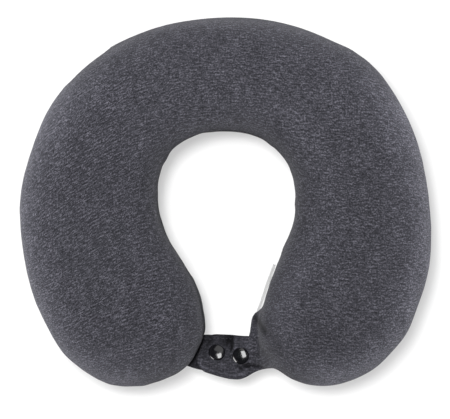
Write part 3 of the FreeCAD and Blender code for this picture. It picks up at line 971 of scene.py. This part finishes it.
def tongue(x_root, x_tip, tip_run, edge_high, edge_low, nx, ny):
    """Grid over the tongue: x, y, half thickness and distance from the rim, all in mm."""
    u = np.linspace(0, 1, nx)
    x = x_root + (x_tip - x_root) * np.sin(u * math.pi / 2) ** 1.15
    high, low = edge_line(x, edge_high), edge_line(x, edge_low)
    to_tip = np.abs(x - x_tip)
    close = np.clip(1 - to_tip / tip_run, 0, 1)
    span = np.sqrt(np.clip(1 - close ** 2.6, 0, 1))
    mid, reach = (high + low) / 2, (high - low) / 2 * span
    v = np.sin(np.linspace(-1, 1, ny) * math.pi / 2)
    gx = np.repeat(x[:, None], ny, 1)
    gy = mid[:, None] + reach[:, None] * v[None]
    edge = np.minimum((1 - np.abs(v))[None] * reach[:, None], to_tip[:, None])
    soft = np.clip(edge / 2.4, 0, 1)
    return gx, gy + LIFT, PLY_HALF * np.sqrt(np.clip(1 - (1 - soft) ** 2, 0, 1)), edge


def two_faced(rows, columns, rim):
    """Faces of a grid, of its twin behind it, and of the wall that joins them along the rim."""
    back, faces = rows * columns, []
    for i in range(rows - 1):
        for k in range(columns - 1):
            a, b = i * columns + k, (i + 1) * columns + k
            faces += [(a, b, b + 1, a + 1), (a + back, a + 1 + back, b + 1 + back, b + back)]
    return faces + [(a, b, b + back, a + back) for a, b in rim]


def tongue_piece(name, gx, gy, z, thick, lit):
    """Closed piece from the grid. Its rim has no thickness, so welding closes it."""
    nx, ny = gx.shape
    sheets = [np.stack([gx, gy, z + side * thick], 2).reshape(-1, 3) * MM for side in (1, -1)]
    verts = [tuple(v) for v in np.concatenate(sheets)]
    mesh = new_mesh(name, verts, two_faced(nx, ny, [(j, j + 1) for j in range(ny - 1)]))
    # The painted light and shade, and a small even amount of painted sheen, are stored for the material.
    store(mesh, "shade", np.concatenate([lit.ravel(), lit.ravel()]))
    store(mesh, "nap", np.full(len(verts), 0.12))
    face_out(mesh, weld=0.002 * MM)
    store_map(mesh, "cloth", co_of(mesh)[:, :2])
    mesh.materials.append(STRAP_CLOTH)
    print(name, len(mesh.polygons), "faces")
    return new_piece(name, mesh)


# %% [markdown]
# Light on so thin a fold can't be left to the lamps alone, so light and shade are painted on the
# cloth: painted shade in the hollows of the creases and painted highlight on their ridges, so the
# shade stored on the cloth follows the same folds.

# %% The upper strap
upper_x, upper_y, thick, edge = tongue(x_root=34.0, x_tip=-21.5, tip_run=2.4, edge_high=UPPER_HIGH,
                                       edge_low=UPPER_LOW, nx=120, ny=72)
# Painted light and shade on the upper strap: darker over its left part, at its rim and in the creases; paler
# on the ridges and along the hem line.
beyond_fold, below_caps = smooth((upper_x - 3) / 4), smooth((-111 - upper_y) / 8)
lit = 0.66 + 0.16 * below_caps * (1 - beyond_fold) + 0.32 * beyond_fold * (1 - 0.15 * below_caps)
folds = strap_height(upper_x, upper_y, 0.0)
lit *= 1 - 0.75 * np.clip(-folds / 1.1, 0, 1) + 0.45 * np.clip(folds / 0.8, 0, 1)
lit *= 1 - 0.30 * smooth((upper_y + 106) / 5) * smooth((4 - upper_x) / 3)
lit *= 1 - 0.5 * bump(edge, 0.7)
painted_hem_highlight = bump(edge - 3.2, 0.55) * smooth((-112 - upper_y) / 4) * (upper_x < 20)
lit *= 1 + 0.75 * painted_hem_highlight
under_arm = 0.9 * smooth((upper_x - 16) / 3)
upper_z = (UPPER_Z + UPPER_TOP) / 2 / MM + strap_height(upper_x, upper_y) - under_arm
upper_strap = tongue_piece("upper_strap_cloth", upper_x, upper_y, upper_z, thick, lit)

# %% [markdown]
# The lower strap is the same kind of tongue, nearly all of it hidden and in shade.

# %% The lower strap
LOWER_HIGH = [(-36, -101.0), (-26, -100.0), (-20, -98.8), (-12, -98.4), (-5, -99.6), (4, -101.0),
              (19, -101.2)]
LOWER_LOW = [(-36, -119.0), (-28, -121.8), (-22, -123.8), (-17, -125.0), (19, -124.8)]
gx, gy, thick, _ = tongue(x_root=-36.0, x_tip=18.4, tip_run=5.4, edge_high=LOWER_HIGH,
                          edge_low=LOWER_LOW, nx=90, ny=48)
rise = 0.15 * waves(np.stack([gx.ravel(), gy.ravel() - LIFT], 1), 24.0, 31, 5).reshape(gx.shape)
for cx, cy in CAPS:
    rise *= smooth((np.hypot(gx - cx, gy - cy) - CAP_R) / 2.5)
lower_z = (LOWER_Z + LOWER_TOP) / 2 / MM + rise
# Painted shade: the whole lower strap's colour is darkened to 0.45.
lower_strap = tongue_piece("lower_strap_cloth", gx, gy, lower_z, thick, np.full(gx.shape, 0.45))
for strap, body, key in ((upper_strap, "upper_strap", "upper"), (lower_strap, "lower_strap", "lower")):
    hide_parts(f"{body}_face", f"{body}_back", f"{body}_interfacing")
    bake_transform(strap)

# %% [markdown]
# ## Snap caps
# The caps are acetal resin, injection moulded with a polished face: nearly black, with a sharp white
# window of light and a thin bright line round the rolled rim. They are turned from a profile. Each sits
# at its own slight tilt, because the cloth under it does.

# %% Snap caps
def acetal(tree):
    vector = node(tree, "ShaderNodeTexCoord").outputs["Object"]
    flow = node(tree, "ShaderNodeTexNoise", Vector=vector, Scale=420.0, Detail=3.0).outputs["Fac"]
    black = node(tree, "ShaderNodeValToRGB", {"stops": ((0.3, "#0b0b0d"), (0.8, "#141417"))}, Fac=flow)
    gloss = node(tree, "ShaderNodeMapRange", Value=flow, To_Min=0.12, To_Max=0.24).outputs[0]
    normal = node(tree, "ShaderNodeBump", Strength=0.08, Distance=0.3 * MM, Height=flow).outputs[0]
    return dict(Base_Color=black.outputs[0], Roughness=gloss, Normal=normal, IOR=1.5, Coat_Weight=1.0,
                Coat_Roughness=0.03)


BLACK_ACETAL = make_material("polished_black_acetal", acetal)
print("resin", BLACK_ACETAL.name)

# %% [markdown]
# A cap is a turned shape: its profile is a row of radii and heights, swept round the axis.

# %% Caps turned from a profile
def turned_mesh(name, profile, steps=64):
    """Closed turned mesh about Z from (radius, height) points that start and end on the axis."""
    rings = profile[1:-1]
    turns = [2 * math.pi * k / steps for k in range(steps)]
    verts = [(0, 0, profile[0][1])]
    verts += [(r * math.cos(a), r * math.sin(a), h) for r, h in rings for a in turns]
    verts.append((0, 0, profile[-1][1]))
    last, end, faces = len(verts) - 1, 1 + (len(rings) - 1) * steps, []
    for k in range(steps):
        n = (k + 1) % steps
        faces += [(0, 1 + k, 1 + n), (end + k, last, end + n)]
        faces += [(a + k, a + steps + k, a + steps + n, a + n) for a in range(1, end, steps)]
    return face_out(new_mesh(name, verts, faces))


def cap_profile():
    """Domed face, rolled rim and flat back, with the post's root."""
    dome = [(6.2 * math.sin(a), 1.6 * math.cos(a)) for a in np.radians(np.linspace(0, 88, 26))]
    back = [(6.2, -0.15), (5.9, -0.5), (1.0, -0.5), (0.9, -3.6), (0.0, -3.6)]
    return [(r * MM, h * MM) for r, h in dome + back]


# How each cap leans, in degrees about X and Y.
TILTS = ((-14.0, 5.0), (1.0, 4.0))
cap_pieces = []
for (cx, cy), tilt, side in zip(CAPS, TILTS, ("left", "right")):
    name = f"snap_cap_{side}"
    mesh = turned_mesh(name, cap_profile())
    lean = Matrix.Rotation(math.radians(tilt[0]), 4, "X") @ Matrix.Rotation(math.radians(tilt[1]), 4, "Y")
    mesh.transform(Matrix.Translation((cx * MM, cy * MM, UPPER_TOP + 0.7 * MM)) @ lean)
    cap = new_piece(name, mesh)
    mesh.materials.append(BLACK_ACETAL)
    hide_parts("snap_caps")
    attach(cap, "upper_strap")
    cap_pieces.append(cap)
print("caps", [len(c.data.polygons) for c in cap_pieces])

# %% [markdown]
# ## Care label
# A blank ribbon of pale polyester satin, hot cut, is caught in the seam of the right arm's inner wall
# and hangs down it. From above only its slanting face shows, as a pale line.

# %% Care label
def satin(tree):
    vector = node(tree, "ShaderNodeTexCoord").outputs["Object"]
    ribs = node(tree, "ShaderNodeTexWave", {"bands_direction": "Z"}, Vector=vector, Scale=420.0,
                Distortion=0.6).outputs["Fac"]
    pale = node(tree, "ShaderNodeValToRGB", {"stops": ((0.2, "#a2a3a3"), (0.8, "#bdbebe"))}, Fac=ribs)
    normal = node(tree, "ShaderNodeBump", Strength=0.25, Distance=0.2 * MM, Height=ribs).outputs[0]
    return dict(Base_Color=pale.outputs[0], Roughness=0.42, Normal=normal, Sheen_Weight=0.2)


# %% [markdown]
# The ribbon starts where the cloth's wall really stands, so that wall is measured first.

# %% The ribbon
LABEL_Y = [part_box("care_label")[k][1] for k in (0, 1)]
LABEL_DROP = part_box("care_label")[1][2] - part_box("care_label")[0][2]


def wall_x(y):
    """Where the lower panel's inner wall stands just under the seam of the right arm."""
    co = co_of(lower_panel.data)
    near = ((co[:, 0] > 12 * MM) & (co[:, 0] < 60 * MM) & (co[:, 2] > SEAM_Z - 7 * MM)
            & (co[:, 2] < SEAM_Z - 3 * MM) & (np.abs(co[:, 1] - y) < 3 * MM))
    return co[near, 0].min()


def label_mesh(name, across=28, down=16, thick=0.28 * MM):
    """Thin closed ribbon that hangs from the seam, bowed a little like any ribbon from a roll."""
    ys = np.linspace(LABEL_Y[0], LABEL_Y[1], across)
    tops = np.polyval(np.polyfit(ys, [wall_x(y) for y in ys], 3), ys)
    verts = []
    for back in (0, 1):
        for i, (y, x) in enumerate(zip(ys, tops)):
            for t in (k / (down - 1) for k in range(down)):
                wave = 0.25 * MM * math.sin(5 * t + i * 0.32) * t
                verts.append((x - 0.3 * MM - 1.5 * MM * t + wave - back * thick, y,
                              SEAM_Z - 0.6 * MM - LABEL_DROP * 0.985 * t))
    rim = [(0, k) for k in range(down)] + [(i, down - 1) for i in range(1, across)]
    rim += [(across - 1, k) for k in range(down - 2, -1, -1)] + [(i, 0) for i in range(across - 2, 0, -1)]
    loop = [i * down + k for i, k in rim]
    return face_out(new_mesh(name, verts, two_faced(across, down, zip(loop, loop[1:] + loop[:1]))))


label = new_piece("label_ribbon", label_mesh("label_ribbon"))
label.data.materials.append(make_material("polyester_satin_ribbon", satin))
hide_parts("care_label")
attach(label, "pillow")
print("label", len(label.data.polygons), "faces")

# %% [markdown]
# ## Zip coil and stitches
# A coil zip is one nylon filament wound into loops on each tape, and a row of stitches is one thread
# that dips in and out. Both are rules that follow a path, so both grow from Geometry Nodes: the
# path becomes a curve, the curve gives points at a fixed pitch, and each point gets one small shape.

# %% Growing shapes along a path
def grow_tree(name, shape, material, pitch):
    """Geometry Nodes tree that sets the shape at every pitch along a path of edges."""
    tree = bpy.data.node_groups.new(name, "GeometryNodeTree")
    face = tree.interface
    face.new_socket("Path", in_out="INPUT", socket_type="NodeSocketGeometry")
    for label, value in (("Pitch", pitch), ("Length", 2.0 * MM), ("Width", 1.0 * MM),
                         ("Thread radius", 0.25 * MM)):
        socket = face.new_socket(label, in_out="INPUT", socket_type="NodeSocketFloat")
        socket.default_value = value
    face.new_socket("Pieces", in_out="OUTPUT", socket_type="NodeSocketGeometry")
    entry = tree.nodes.new("NodeGroupInput").outputs
    path = node(tree, "GeometryNodeMeshToCurve", Mesh=entry["Path"]).outputs[0]
    spaced = node(tree, "GeometryNodeCurveToPoints", {"mode": "LENGTH"}, Curve=path, Length=entry["Pitch"])
    turn = node(tree, "FunctionNodeAxesToRotation", {"primary_axis": "X", "secondary_axis": "Z"},
                Primary_Axis=spaced.outputs["Tangent"], Secondary_Axis=(0.0, 0.0, 1.0)).outputs[0]
    shapes = node(tree, "GeometryNodeInstanceOnPoints", Points=spaced.outputs["Points"],
                  Instance=shape(tree, entry), Rotation=turn).outputs[0]
    real = node(tree, "GeometryNodeRealizeInstances", Geometry=shapes).outputs[0]
    painted = node(tree, "GeometryNodeSetMaterial", Geometry=real, Material=material).outputs[0]
    node(tree, "NodeGroupOutput", Pieces=painted)
    return tree


# %% [markdown]
# The small shapes are trees' branches too: one takes its sizes from the tree's inputs and returns a
# single loop of filament, the other a single stitch.

# %% One loop and one stitch
def coil_loop(tree, entry):
    """One turn of the filament: a flat oval that stands across the path."""
    circle = node(tree, "GeometryNodeCurvePrimitiveCircle", Resolution=14, Radius=0.5).outputs[0]
    stood = node(tree, "GeometryNodeTransform", Geometry=circle, Rotation=(0.0, math.pi / 2, 0.0)).outputs[0]
    size = node(tree, "ShaderNodeCombineXYZ", X=1.0, Y=entry["Width"], Z=entry["Length"]).outputs[0]
    oval = node(tree, "GeometryNodeTransform", Geometry=stood, Scale=size).outputs[0]
    section = node(tree, "GeometryNodeCurvePrimitiveCircle", Resolution=6, Radius=entry["Thread radius"])
    return node(tree, "GeometryNodeCurveToMesh", Curve=oval, Profile_Curve=section.outputs[0]).outputs[0]


def stitch_grain(tree, entry):
    """One visible stitch: a short plump length of thread along the path."""
    grain = node(tree, "GeometryNodeMeshUVSphere", Segments=8, Rings=6, Radius=0.5).outputs["Mesh"]
    size = node(tree, "ShaderNodeCombineXYZ", X=entry["Length"], Y=entry["Width"], Z=entry["Width"]).outputs[0]
    return node(tree, "GeometryNodeTransform", Geometry=grain, Scale=size).outputs[0]


def grown(name, tree, paths, **values):
    """Run the tree over the paths and keep the result as a plain mesh."""
    edges, first = [], 0
    for path in paths:
        edges += [(first + i, first + i + 1) for i in range(len(path) - 1)]
        first += len(path)
    obj = new_piece(name, new_mesh(name + "_path", [tuple(p) for path in paths for p in path], [], edges))
    modifier = obj.modifiers.new("grow", "NODES")
    modifier.node_group = tree
    for item in tree.interface.items_tree:
        key = item.name.replace(" ", "_").lower()
        if item.in_out == "INPUT" and key in values:
            modifier[item.identifier] = values[key]
    applied(obj)
    smooth_faces(obj.data)
    return obj


# %% [markdown]
# Both threads are man-made: the coil's filament is drawn and a little glossy, the sewing thread is
# spun from short fibres and matt.

# %% Threads
def thread(tree, dark, light, rough, size):
    """Drawn or spun thread: faint marks of the given size in its tone and its gloss."""
    vector = node(tree, "ShaderNodeTexCoord").outputs["Object"]
    flow = node(tree, "ShaderNodeTexNoise", Vector=vector, Scale=1 / size, Detail=3.0).outputs["Fac"]
    tone = node(tree, "ShaderNodeValToRGB", {"stops": ((0.3, dark), (0.7, light))}, Fac=flow).outputs[0]
    gloss = node(tree, "ShaderNodeMapRange", Value=flow, To_Min=rough - 0.06, To_Max=rough + 0.08).outputs[0]
    normal = node(tree, "ShaderNodeBump", Strength=0.15, Distance=0.2 * MM, Height=flow).outputs[0]
    return dict(Base_Color=tone, Roughness=gloss, Normal=normal)


NYLON = make_material("drawn_nylon_filament", thread, "#1d1d20", "#2c2c30", 0.38, 0.9 * MM)
THREAD = make_material("spun_polyester_thread", thread, "#232226", "#3a393f", 0.75, 0.5 * MM)
print("threads", NYLON.name, THREAD.name)

# %% [markdown]
# The coil's loops stand every 1.27 mm, the pitch of a size 3 zip, and the lower row is shifted by half
# a pitch, so that the two rows mesh.

# %% Zip coil
CHAIN_FROM, CHAIN_TO = -24.3, 27.3
CHAIN_R = BACK_R - 3.9 * MM
COIL_PITCH = 1.27 * MM


def zip_arc(radius, start, end, z, count=160):
    turns = np.radians(np.linspace(start, end, count))
    r = np.broadcast_to(radius(np.degrees(turns)) if callable(radius) else radius, turns.shape)
    return [(BACK_C[0] + q * math.sin(a), BACK_C[1] + q * math.cos(a), z) for q, a in zip(r, turns)]


coil_tree = grow_tree("filament_loops", coil_loop, NYLON, COIL_PITCH)
half_turn = math.degrees(COIL_PITCH / 2 / CHAIN_R)
for cad_node, rise, shift in (("zip_coil_upper", 0.75, 0.0), ("zip_coil_lower", -0.75, half_turn)):
    path = zip_arc(CHAIN_R - 0.5 * MM, CHAIN_FROM + shift, CHAIN_TO, SEAM_Z + rise * MM)
    coil = grown(cad_node + "_loops", coil_tree, [path], pitch=COIL_PITCH, length=3.0 * MM, width=1.1 * MM,
                 thread_radius=0.28 * MM)
    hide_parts(cad_node)
    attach(coil, "pillow")
    print(coil.name, len(coil.data.polygons), "faces")

# %% [markdown]
# A lock stitch shows as a short plump grain about every 3 mm. One row runs on each side of the zip,
# and one along each edge of the upper strap, 3 mm in from its rim and over its folds.

# %% Stitches beside the zip and round the strap
HEM_INSET = 3.0
stitch_tree = grow_tree("lock_stitches", stitch_grain, THREAD, 3.0 * MM)
rows = [zip_arc(lambda t: zip_wall_radius(t) + 0.05 * MM, -ZIP_TURN - 1, ZIP_TURN + 1,
                SEAM_Z + side * (SLOT + 2.4 * MM)) for side in (-1, 1)]
zip_stitches = grown("zip_stitches", stitch_tree, rows, pitch=3.0 * MM, length=2.3 * MM, width=0.45 * MM)
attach(zip_stitches, "pillow")

hem_x = np.linspace(17.0, -11.5, 80)
hem = []
for rim, inward in ((0, HEM_INSET), (-1, -HEM_INSET)):
    order = np.argsort(upper_x[:, rim])
    hem_y = np.interp(hem_x, upper_x[order, rim], upper_y[order, rim]) + inward
    hem_z = UPPER_TOP / MM + strap_height(hem_x, hem_y) - 0.05
    hem.append([(x * MM, y * MM, z * MM) for x, y, z in zip(hem_x, hem_y, hem_z)])
hem_stitches = grown("strap_stitches", stitch_tree, hem, pitch=2.8 * MM, length=2.1 * MM, width=0.36 * MM)
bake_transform(hem_stitches)
print("stitches", len(zip_stitches.data.polygons), len(hem_stitches.data.polygons))

# %% [markdown]
# ## The hard pieces kept from the frame
# Tapes, stops, slider, pull and the hidden halves of the snaps keep their engineering shape and get
# their real surfaces: woven polyester tape, die-cast zinc under black paint that has rubbed thin on
# its corners, and the same acetal as the caps.

# %% Materials for kept nodes
def woven_tape(tree):
    vector = node(tree, "ShaderNodeTexCoord").outputs["Object"]
    twill = node(tree, "ShaderNodeTexWave", {"bands_direction": "DIAGONAL"}, Vector=vector, Scale=260.0,
                 Distortion=0.4).outputs["Fac"]
    weft = node(tree, "ShaderNodeTexWave", {"bands_direction": "Z"}, Vector=vector, Scale=400.0)
    weave = node(tree, "ShaderNodeMath", MULTIPLY_ADD, _0=weft.outputs["Fac"], _1=0.6, _2=twill).outputs[0]
    tone = node(tree, "ShaderNodeValToRGB", {"stops": ((0.3, "#1b1b1e"), (1.0, "#37373c"))}, Fac=weave)
    normal = node(tree, "ShaderNodeBump", Strength=0.6, Distance=0.2 * MM, Height=weave).outputs[0]
    return dict(Base_Color=tone.outputs[0], Roughness=0.82, Normal=normal, Sheen_Weight=0.15)


def painted_zinc(tree):
    vector = node(tree, "ShaderNodeTexCoord").outputs["Object"]
    speckle = node(tree, "ShaderNodeTexNoise", Vector=vector, Scale=900.0, Detail=4.0).outputs["Fac"]
    corner = node(tree, "ShaderNodeNewGeometry").outputs["Pointiness"]
    rubbed = node(tree, "ShaderNodeMath", MULTIPLY_ADD, _0=speckle, _1=0.08, _2=corner).outputs[0]
    worn = node(tree, "ShaderNodeValToRGB", {"stops": ((0.60, 0.0), (0.66, 1.0))}, Fac=rubbed).outputs[0]
    paint = node(tree, "ShaderNodeValToRGB", {"stops": ((0.35, "#161618"), (0.7, "#222226"))}, Fac=speckle)
    colour = node(tree, "ShaderNodeMix", {"data_type": "RGBA"}, _0=worn, _6=paint.outputs[0],
                  _7="#6a6b6e").outputs[2]
    rough = node(tree, "ShaderNodeMapRange", Value=speckle, To_Min=0.26, To_Max=0.42).outputs[0]
    normal = node(tree, "ShaderNodeBump", Strength=0.2, Distance=0.2 * MM, Height=speckle).outputs[0]
    return dict(Base_Color=colour, Metallic=worn, Roughness=rough, Normal=normal)


TAPE = make_material("woven_polyester_tape", woven_tape)
ZINC = make_material("black_painted_zinc", painted_zinc)
for material, names in ((TAPE, ("zip_tape_upper", "zip_tape_lower")),
                        (ZINC, ("zip_top_stops", "zip_bottom_stop", "zip_slider", "zip_pull")),
                        (BLACK_ACETAL, ("snap_sockets", "snap_studs", "snap_post_caps"))):
    for name in names:
        kept = bpy.data.objects[name]
        for slot in kept.material_slots:
            slot.link = "OBJECT"
            slot.material = material
        print(name, "gets", material.name, "on", len(kept.material_slots), "slots")

# %% [markdown]
# ## Floor, light and camera
# The floor is a matt white sweep that glows a little, as translucent acrylic lit from below does, so
# the shadows stay pale. It is flat and large enough to have no edge in sight.

# %% Floor
def lit_sweep(tree):
    vector = node(tree, "ShaderNodeTexCoord").outputs["Object"]
    grain = node(tree, "ShaderNodeTexNoise", Vector=vector, Scale=3.0).outputs["Fac"]
    tone = node(tree, "ShaderNodeValToRGB", {"stops": ((0.3, "#999999"), (0.7, "#9d9d9d"))}, Fac=grain)
    return dict(Base_Color=tone.outputs[0], Roughness=0.9, Emission_Color="#ffffff", Emission_Strength=0.51)


floor = new_piece("floor", new_mesh("floor", [(-4, -4, 0), (4, -4, 0), (4, 4, 0), (-4, 4, 0)], [(0, 1, 2, 3)]))
floor.data.materials.append(make_material("matt_white_sweep", lit_sweep))
print("floor", [round(v, 1) for v in floor.dimensions], "m")

# %% [markdown]
# One lamp high on the left casts the soft shadows. Three cards at the sides are seen only as
# reflections in the caps, because a glossy part shows what stands round it. The room is pale low
# down and dark overhead.


# %% Light
def soft_window(name, place, aim, size, power):
    light = bpy.data.lights.new(name, "AREA")
    light.shape = "RECTANGLE"
    light.size, light.size_y = size
    light.energy = power
    lamp = bpy.data.objects.new(name, light)
    scene.collection.objects.link(lamp)
    lamp.location = place
    lamp.rotation_euler = (Vector(aim) - Vector(place)).to_track_quat("-Z", "Y").to_euler()
    return lamp


key = soft_window("key", (-0.26, 0.26, 3.05), (0, 0, 0.05), (0.46, 0.46), 149.0)
key.visible_glossy = False
for name, place, size, power in (("window", (0.56, 0.03, 1.55), (0.80, 0.52), 10.6),
                                 ("strip", (-0.95, -0.95, 1.15), (1.10, 0.80), 17.0),
                                 ("grey card", (0.75, 1.20, 1.50), (1.40, 1.40), 4.6)):
    card = soft_window(name, place, (0, -0.11, 0.05), size, power)
    card.visible_diffuse = False


def light_tent():
    """A room that is pale low down and dark overhead, as round a table under a black ceiling."""
    world = bpy.data.worlds.new("light_tent")
    world.use_nodes = True
    tree = world.node_tree
    tree.nodes.clear()
    direction = node(tree, "ShaderNodeTexCoord").outputs["Generated"]
    height = node(tree, "ShaderNodeSeparateXYZ", Vector=direction).outputs["Z"]
    tone = node(tree, "ShaderNodeValToRGB", {"stops": (
        (0.0, 0.95), (0.25, 0.85), (0.45, 0.40), (0.70, 0.12), (0.97, 0.02))}, Fac=height).outputs[0]
    back = node(tree, "ShaderNodeBackground", Color=tone, Strength=1.30)
    node(tree, "ShaderNodeOutputWorld", Surface=back.outputs[0])
    return world


scene.world = light_tent()
scene.world.cycles_visibility.glossy = False
scene.view_settings.view_transform = "Standard"

# %% [markdown]
# The camera looks straight down through a long lens, so the walls of the neck hole hardly show.

# %% Camera
PILLOW_W = 302.4 * MM
PILLOW_SHARE = 412 / 450
SENSOR = 36.0
DISTANCE = 2.4
camera_data = bpy.data.cameras.new("camera")
camera_data.sensor_width = SENSOR
camera_data.lens = SENSOR * DISTANCE / (PILLOW_W / PILLOW_SHARE)
camera = bpy.data.objects.new("camera", camera_data)
scene.collection.objects.link(camera)
camera.location = (-0.7 * MM, -5.4 * MM, SEAM_Z + DISTANCE)
scene.camera = camera
print("lens", round(camera_data.lens, 1), "mm")
